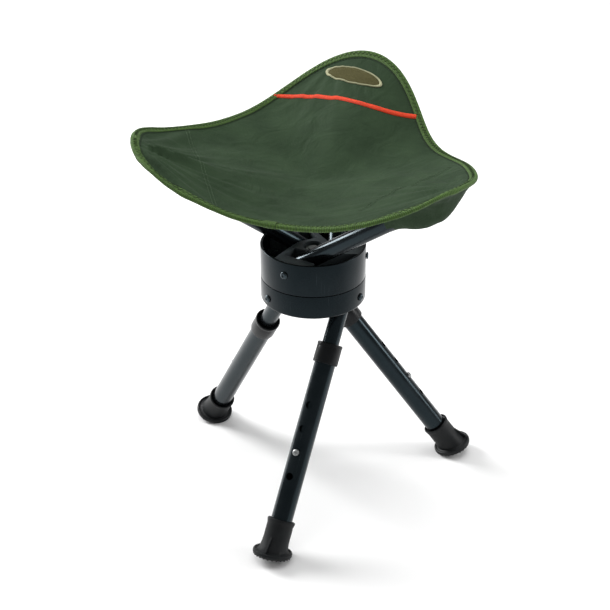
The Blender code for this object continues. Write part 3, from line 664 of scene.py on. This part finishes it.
def woven(name, dark, light, pitch=0.0011, slope=0.45, sheen=0.03):
    """Plain weave: threads over and under each other, uneven dye and a faint nap."""
    look, tree, shader, _ = new_finish(name)
    place = wire(tree, "ShaderNodeUVMap").outputs["UV"]
    warp, weft = (
        wire(tree, "ShaderNodeTexWave", {
            "Vector": place, "Scale": wave_scale / pitch, "Distortion": 0.6, "Detail": 1.0,
        }, bands_direction=direction).outputs["Fac"]
        for direction in ("X", "Y")
    )
    cross = wire(tree, "ShaderNodeMath", {0: warp, 1: weft}, operation="MULTIPLY")
    dye = wire(tree, "ShaderNodeTexNoise", {"Vector": place, "Scale": 26.0, "Detail": 6.0})
    both = wire(tree, "ShaderNodeMath", {0: dye.outputs["Fac"], 1: 0.62}, operation="MULTIPLY")
    depth = wire(tree, "ShaderNodeMath", {
        0: cross.outputs[0], 1: 0.45, 2: both.outputs[0],
    }, operation="MULTIPLY_ADD")
    tone = ramp(tree, depth.outputs[0], [(0.22, dark), (0.75, light)])
    tree.links.new(tone, shader.inputs["Base Color"])
    nap = wire(tree, "ShaderNodeTexNoise", {"Vector": place, "Scale": 2600.0, "Detail": 3.0})
    between(tree, shader, nap.outputs["Fac"], 0.62, 0.86)
    crumple = wire(tree, "ShaderNodeTexNoise", {
        "Vector": place, "Scale": 34.0, "Detail": 5.0, "Distortion": 1.2,
    })
    soft = wire(tree, "ShaderNodeBump", {
        "Strength": 0.55, "Distance": 0.005, "Height": crumple.outputs["Fac"],
    })
    roughen(tree, shader, cross.outputs[0], slope, 0.0002, soft.outputs[0])
    shader.inputs["Specular IOR Level"].default_value = 0.10
    shader.inputs["Sheen Weight"].default_value = sheen
    shader.inputs["Sheen Roughness"].default_value = 0.45
    return look


sectors = []
cloth_look = woven("green polyester weave", (0.0125, 0.027, 0.0115), (0.034, 0.062, 0.029))
for arm, corner in corners:
    for side in (-1, 1):
        border = corner + half_sector * side
        hand = "ccw" if side > 0 else "cw"

        def spot(u, v, corner=corner, side=side):
            bearing = corner + half_sector * side * v
            radius = (seat_edge(bearing)[0] - edge_inset) * u
            turn = math.radians(bearing)
            return on_seat(radius * math.cos(turn), radius * math.sin(turn))

        bm = skin(90, 60, spot, cloth_thickness)
        panel = piece(f"{arm}_cloth_{hand}", bm, cloth_look, sharp=50)
        folding(panel)
        sectors.append({
            "arm": arm, "corner": corner, "side": side, "border": border, "hand": hand,
            "cloth": panel, "with": [],
        })
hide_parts("seat_cloth")

# ---- Edge binding --------------------------------------------------------------------------
# A bright green ribbed tape folded over the raw edge and sewn through with a zigzag. A dark
# running stitch holds it from inside, and the tape's ends lap on the front edge.

edge_radius = 0.165
tape_section = (
    (-0.0066, 0.0004), (-0.0064, 0.0010), (-0.0052, 0.0013), (-0.0030, 0.0015), (-0.0008, 0.0014),
    (0.0008, 0.0009), (0.0018, -0.0001), (0.0021, -0.0012), (0.0018, -0.0023), (0.0008, -0.0033),
    (-0.0008, -0.0037), (-0.0030, -0.0037), (-0.0058, -0.0034), (-0.0062, -0.0027), (-0.0004, -0.0026),
    (0.0004, -0.0020), (0.0007, -0.0012), (0.0005, -0.0002), (-0.0002, 0.0004), (-0.0030, 0.0005),
)


def tape(first, last, columns, grow=0.0):
    """The folded tape between two bearings, with its ends closed and its length as a map."""
    bm = bmesh.new()
    around = len(tape_section)
    bmesh.ops.create_grid(bm, x_segments=columns, y_segments=around, size=0.5)
    layer = bm.loops.layers.uv.new("plan")
    for face in bm.faces:
        for loop in face.loops:
            run = loop.vert.co.x + 0.5
            length = math.radians(abs(last - first)) * edge_radius * run
            loop[layer].uv = (length, 0.02 * (loop.vert.co.y + 0.5))
    for v in bm.verts:
        bearing = first + (last - first) * (v.co.x + 0.5)
        out, up = tape_section[round((v.co.y + 0.5) * around) % around]
        swell = 1.0 + grow
        v.co = near_edge(bearing, out * swell, (up + 0.0011) * swell - 0.0011)
    bmesh.ops.remove_doubles(bm, verts=bm.verts, dist=1e-6)
    bmesh.ops.holes_fill(bm, edges=[e for e in bm.edges if e.is_boundary], sides=0)
    bmesh.ops.recalc_face_normals(bm, faces=bm.faces)
    return bm


def threads(pairs, radius):
    """Threads between pairs of points, each a slim rounded lump."""
    bm = bmesh.new()
    for start, end in pairs:
        run = end - start
        turn = run.to_track_quat("Z", "Y").to_matrix().to_4x4()
        stretch = Matrix.Diagonal((radius, radius, run.length / 2 + radius * 0.5, 1.0))
        place = Matrix.Translation((start + end) / 2) @ turn @ stretch
        bmesh.ops.create_uvsphere(bm, u_segments=6, v_segments=5, radius=1.0, matrix=place)
    return bm


def thread_look(name, dark, light):
    """Twisted polyester thread: fine slanted plies and uneven dye."""
    look, tree, shader, place = new_finish(name)
    plies = wire(tree, "ShaderNodeTexWave", {
        "Vector": place, "Scale": 900.0, "Distortion": 2.0,
    }, bands_direction="DIAGONAL")
    dye = wire(tree, "ShaderNodeTexNoise", {"Vector": place, "Scale": 90.0, "Detail": 3.0})
    depth = wire(tree, "ShaderNodeMath", {
        0: plies.outputs["Fac"], 1: dye.outputs["Fac"],
    }, operation="MULTIPLY")
    tree.links.new(ramp(tree, depth.outputs[0], [(0.05, dark), (0.6, light)]), shader.inputs["Base Color"])
    roughen(tree, shader, plies.outputs["Fac"], 0.3, 0.0001)
    shader.inputs["Roughness"].default_value = 0.75
    shader.inputs["Specular IOR Level"].default_value = 0.25
    return look


def ribbed(name, dark, light, pitch=0.0016):
    """Grosgrain tape: close cross ribs and a little unevenness in the dye."""
    look, tree, shader, _ = new_finish(name)
    place = wire(tree, "ShaderNodeUVMap").outputs["UV"]
    rib = wire(tree, "ShaderNodeTexWave", {
        "Vector": place, "Scale": wave_scale / pitch, "Distortion": 0.8, "Detail": 1.0,
    }, bands_direction="X")
    dye = wire(tree, "ShaderNodeTexNoise", {"Vector": place, "Scale": 320.0, "Detail": 4.0})
    depth = wire(tree, "ShaderNodeMath", {
        0: rib.outputs["Fac"], 1: dye.outputs["Fac"],
    }, operation="MULTIPLY")
    tree.links.new(ramp(tree, depth.outputs[0], [(0.05, dark), (0.55, light)]), shader.inputs["Base Color"])
    roughen(tree, shader, rib.outputs["Fac"], 0.7, 0.0004)
    between(tree, shader, dye.outputs["Fac"], 0.6, 0.85)
    shader.inputs["Specular IOR Level"].default_value = 0.25
    shader.inputs["Sheen Weight"].default_value = 0.04
    return look


binding_look = ribbed("bright green grosgrain", (0.018, 0.040, 0.007), (0.090, 0.180, 0.032))
zigzag_look = thread_look("deep green thread", (0.010, 0.024, 0.005), (0.034, 0.070, 0.015))
seam_look = thread_look("dark green thread", (0.008, 0.015, 0.007), (0.022, 0.038, 0.019))
crossings, zigzag_band = 74, (-0.0048, -0.0010)
edge_stitches, stitch_line = 58, -0.0078
lap_start, lap_end = 262.0, 266.5
for sector in sectors:
    arm, corner, side, border = (sector[key] for key in ("arm", "corner", "side", "border"))
    label = f"{arm}_{sector['hand']}"
    edge_tape = piece(f"{label}_binding", tape(corner, border, 150), binding_look, sharp=60)
    row = []
    for k in range(crossings):
        outs = zigzag_band if k % 2 else zigzag_band[::-1]
        ends = [corner + (border - corner) * (k + step) / crossings for step in (0.0, 1.0)]
        row.append(tuple(near_edge(b, out, 0.0017) for b, out in zip(ends, outs)))
    zigzag = piece(f"{label}_zigzag", threads(row, 0.00032), zigzag_look)
    row = []
    for k in range(edge_stitches):
        ends = [corner + (border - corner) * (k + step) / edge_stitches for step in (0.14, 0.86)]
        row.append(tuple(near_edge(b, stitch_line, 0.0003) for b in ends))
    inner_row = piece(f"{label}_edge_stitches", threads(row, 0.00036), seam_look)
    for made in (edge_tape, zigzag, inner_row):
        folding(made)
        sector["with"].append(made)
    if label == "left_arm_ccw":
        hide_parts("edge_binding")
        lap_tape = tape(lap_start, lap_end, 16, grow=0.16)
        lap = piece(f"{label}_binding_lap", lap_tape, binding_look, sharp=60)
        folding(lap)
        sector["with"].append(lap)

# ---- Corner pockets ------------------------------------------------------------------------
# A second layer of the same cloth is sewn under each corner, along its two edges and open to
# the middle. The arm's tip pushes into it, and it hangs slack in a keel under the tube.

pocket_mouth, pocket_bend, keel_half, under_arm = 0.1070, 0.158, 0.020, 0.0125
pocket_slack = {330: 0.013, 90: 0.013, 210: 0.0}
slack_run, pocket_inset = 0.045, 0.0030
hem_stitches = 34
arm_offset = math.sin(math.radians(-30.0 - arm_heading))


def pocket_half(q, corner, side):
    """How far the pocket reaches sideways, at a distance along the corner's line."""
    near, far = 0.0, 0.16
    for _ in range(30):
        p = (near + far) / 2
        bearing = corner + math.degrees(math.atan2(side * p, q))
        if math.hypot(q, p) < seat_edge(bearing)[0] - pocket_inset:
            near = p
        else:
            far = p
    return near


def keel(q, corner, lean, tip):
    """The height of the pocket's lowest line."""
    reach = min(q, pocket_bend)
    slack = min(1.0, max(0.0, (reach - pocket_mouth) / slack_run))
    low = arm_pin_z + reach / math.tan(math.radians(lean)) - under_arm
    low -= pocket_slack[corner] * slack * slack * (3 - 2 * slack)
    if q > pocket_bend:
        edge = near_edge(corner, -pocket_inset).z - pocket_inset
        low += (edge - low) * ((q - pocket_bend) / (tip - pocket_bend)) ** 1.4
    return low


for sector in sectors:
    arm, corner, side, border = (sector[key] for key in ("arm", "corner", "side", "border"))
    lean = arm_leans[arm_names.index(arm)]
    tip = seat_edge(corner)[0] - 0.0034
    way = Vector((math.cos(math.radians(corner)), math.sin(math.radians(corner))))
    left = Vector((-way.y, way.x))

    def spot(u, v, corner=corner, side=side, lean=lean, tip=tip, way=way, left=left):
        q = pocket_mouth + (tip - pocket_mouth) * u
        half = pocket_half(q, corner, side)
        p = side * half * v
        off = p + (arm_side + q * arm_offset)
        bump = math.exp(-((off / keel_half) ** 2)) * (1 - v * v)
        flat = way * q + left * p
        top = on_seat(flat.x, flat.y).z - cloth_thickness - 0.0007
        low = top + (keel(q, corner, lean, tip) - top) * bump
        crease = 0.0016 * noise.noise(Vector((q * 42.0, p * 55.0, corner))) * bump
        return Vector((flat.x, flat.y, min(low + crease, top)))

    label = f"{arm}_{sector['hand']}"
    pouch = piece(f"{label}_pocket", skin(56, 40, spot, 0.0010), cloth_look, sharp=50)
    if side < 0:
        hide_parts(f"{arm}_corner_pocket")
    folding(pouch)
    sector["pouch"] = pouch
    hem = []
    for k in range(hem_stitches):
        pair = [spot(0.03, (k + step) / hem_stitches) - Vector((0, 0, 0.0011)) for step in (0.12, 0.88)]
        if (pair[1] - pair[0]).length > 0.0004:
            hem.append(tuple(pair))
    hem_row = piece(f"{label}_pocket_hem", threads(hem, 0.0003), seam_look)
    folding(hem_row)
    sector["hem"] = hem_row

# ---- Pocket seams --------------------------------------------------------------------------
# Where a pocket's mouth is sewn to the seat, two rows of pale thread show on the top face. On
# the back corner the coloured piping covers them.


def sewn_line(ends, gap, pitch=0.0026):
    """Running stitches along a line of the plan, moved sideways by the gap."""
    start, end = (Vector(p) for p in ends)
    along_line = (end - start).normalized()
    start = start + Vector((-along_line.y, along_line.x)) * gap
    count = int((end - start).length / pitch)
    row = []
    for k in range(count):
        points = [start + along_line * pitch * (k + step) for step in (0.15, 0.85)]
        row.append(tuple(on_seat(p.x, p.y, 0.0002) for p in points))
    return row


pale_look = thread_look("pale green thread", (0.030, 0.055, 0.026), (0.085, 0.135, 0.075))
seam_gap = 0.0032
seam_ends = {
    "left_arm": ((-0.1381, 0.0288), (-0.0674, -0.1398)),
    "right_arm": ((0.1359, 0.0028), (0.0600, -0.1060)),
}
for sector in sectors:
    arm, corner, side, border = (sector[key] for key in ("arm", "corner", "side", "border"))
    if arm not in seam_ends:
        continue
    first, last = seam_ends[arm]
    way = Vector((math.cos(math.radians(corner)), math.sin(math.radians(corner))))
    run = Vector(last) - Vector(first)
    share = -(way.x * first[1] - way.y * first[0]) / (way.x * run.y - way.y * run.x)
    middle = Vector(first) + run * share
    lower = side > 0 if arm == "left_arm" else side < 0
    ends = (middle, Vector(last)) if lower else (Vector(first), middle)
    row = sewn_line(ends, 0.0) + sewn_line(ends, seam_gap)
    seam = piece(f"{arm}_{sector['hand']}_seam", threads(row, 0.00034), pale_look)
    folding(seam)
    sector["with"].append(seam)

# ---- Piping and badge ----------------------------------------------------------------------
# An orange-red piping runs across the back corner from edge to edge. Behind it an oval olive
# badge with a raised cream border is sewn on, left plain.

piping_left, piping_right, piping_half = -0.0690, 0.0900, 0.0023
piping_look = ribbed("orange red piping", (0.50, 0.022, 0.004), (0.95, 0.075, 0.012), pitch=0.0009)


def stripe_line(x):
    """How far back the piping lies."""
    return 0.1215 - 0.227 * x - 0.007 * math.sin(math.pi * x / 0.09)


for sector in sectors:
    if sector["arm"] != "back_arm":
        continue
    far = piping_right if sector["side"] < 0 else piping_left
    bm = bmesh.new()
    bmesh.ops.create_grid(bm, x_segments=70, y_segments=12, size=0.5)
    for v in bm.verts:
        x = far * (v.co.x + 0.5)
        a = math.tau * (v.co.y + 0.5)
        y = stripe_line(x) + piping_half * math.cos(a)
        v.co = on_seat(x, y, 0.0003 + (0.0014 if math.sin(a) > 0 else 0.0002) * math.sin(a))
    bmesh.ops.remove_doubles(bm, verts=bm.verts, dist=1e-6)
    bmesh.ops.holes_fill(bm, edges=[e for e in bm.edges if e.is_boundary], sides=0)
    bmesh.ops.recalc_face_normals(bm, faces=bm.faces)
    plan_map(bm)
    stripe = piece(f"piping_{sector['hand']}", bm, piping_look, sharp=60)
    folding(stripe)
    sector["with"].append(stripe)
    if sector["side"] < 0:
        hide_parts("piping_stripe")

badge_centre, badge_long, badge_half_height = Vector((0.0168, 0.1462)), Vector((0.0322, -0.0160)), 0.0088
badge_across = Vector((-badge_long.y, badge_long.x)).normalized() * badge_half_height


def sewn_patch(outline):
    """A closed oval on the cloth, from an outline of (share of its size, height)."""
    bm = turned(outline, 96)
    plan_map(bm)
    for v in bm.verts:
        flat = badge_centre + badge_long * v.co.x + badge_across * v.co.y
        v.co = on_seat(flat.x, flat.y, 0.0003 + v.co.z)
    return bm


olive = woven("olive badge weave", (0.060, 0.055, 0.018), (0.115, 0.105, 0.038), pitch=0.04, slope=0.4)
cream = thread_look("cream badge border", (0.26, 0.26, 0.15), (0.46, 0.46, 0.29))
face_outline = [
    (0.0, 0.0), (0.89, 0.0), (0.905, 0.0006), (0.84, 0.0010), (0.5, 0.0011), (0.25, 0.0011), (0.0, 0.0011),
]
rim_outline = [
    (0.91, 0.0), (1.0, 0.0), (1.01, 0.0006), (1.0, 0.0011), (0.965, 0.0014), (0.925, 0.0012), (0.91, 0.0007),
]
badge = piece("badge_face", sewn_patch(face_outline), olive, sharp=60)
badge_rim = piece("badge_border", sewn_patch(rim_outline), cream, sharp=60)
for made in (badge, badge_rim):
    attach(made, "back_arm")
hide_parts("badge")

# ---- Set -----------------------------------------------------------------------------------
# A plain pale floor, a broad soft light on each side and over the top, and the camera.

floor_bm = bmesh.new()
bmesh.ops.create_grid(floor_bm, x_segments=1, y_segments=1, size=14.0)
floor_mesh = bpy.data.meshes.new("floor")
floor_bm.to_mesh(floor_mesh)
floor_bm.free()
floor = bpy.data.objects.new("floor", floor_mesh)
bpy.context.collection.objects.link(floor)
floor_look, tree, shader, place = new_finish("pale floor")
shader.inputs["Base Color"].default_value = (0.90, 0.90, 0.90, 1.0)
shader.inputs["Roughness"].default_value = 0.9
shader.inputs["Specular IOR Level"].default_value = 0.1
floor_mesh.materials.append(floor_look)

world = bpy.data.worlds.new("studio")
world.use_nodes = True
world.node_tree.nodes["Background"].inputs["Color"].default_value = (1.0, 1.0, 1.0, 1.0)
world.node_tree.nodes["Background"].inputs["Strength"].default_value = 0.30
bpy.context.scene.world = world


def soft_light(name, spot, size, power, aim=(0.0, 0.0, 0.25)):
    lamp = bpy.data.lights.new(name, "AREA")
    lamp.shape = "RECTANGLE"
    lamp.size, lamp.size_y = size
    lamp.energy = power
    made = bpy.data.objects.new(name, lamp)
    made.location = spot
    made.rotation_euler = (Vector(aim) - Vector(spot)).to_track_quat("-Z", "Y").to_euler()
    bpy.context.collection.objects.link(made)


soft_light("left_bank", (-1.8, 0.7, 1.1), (0.8, 1.4), 60.0)
soft_light("right_bank", (2.0, 0.3, 1.0), (0.5, 1.6), 20.0)
soft_light("top_bank", (0.0, 0.3, 3.6), (3.4, 3.4), 100.0)

camera_turn, camera_rise, camera_distance = math.radians(10.4), math.radians(28.4), 1.674
camera_aim = Vector((0.0, 0.0, 0.22))
toward = Vector((
    math.cos(camera_rise) * math.sin(camera_turn),
    -math.cos(camera_rise) * math.cos(camera_turn),
    math.sin(camera_rise),
))
lens = bpy.data.cameras.new("camera")
lens.sensor_width = 36.0
lens.lens = 95.1
lens.shift_x = -0.0134
lens.shift_y = -0.0152
lens.clip_end = 60.0
camera = bpy.data.objects.new("camera", lens)
camera.location = camera_aim + toward * camera_distance
camera.rotation_euler = (-toward).to_track_quat("-Z", "Y").to_euler()
bpy.context.collection.objects.link(camera)
bpy.context.scene.camera = camera
bpy.context.scene.view_settings.view_transform = "Standard"
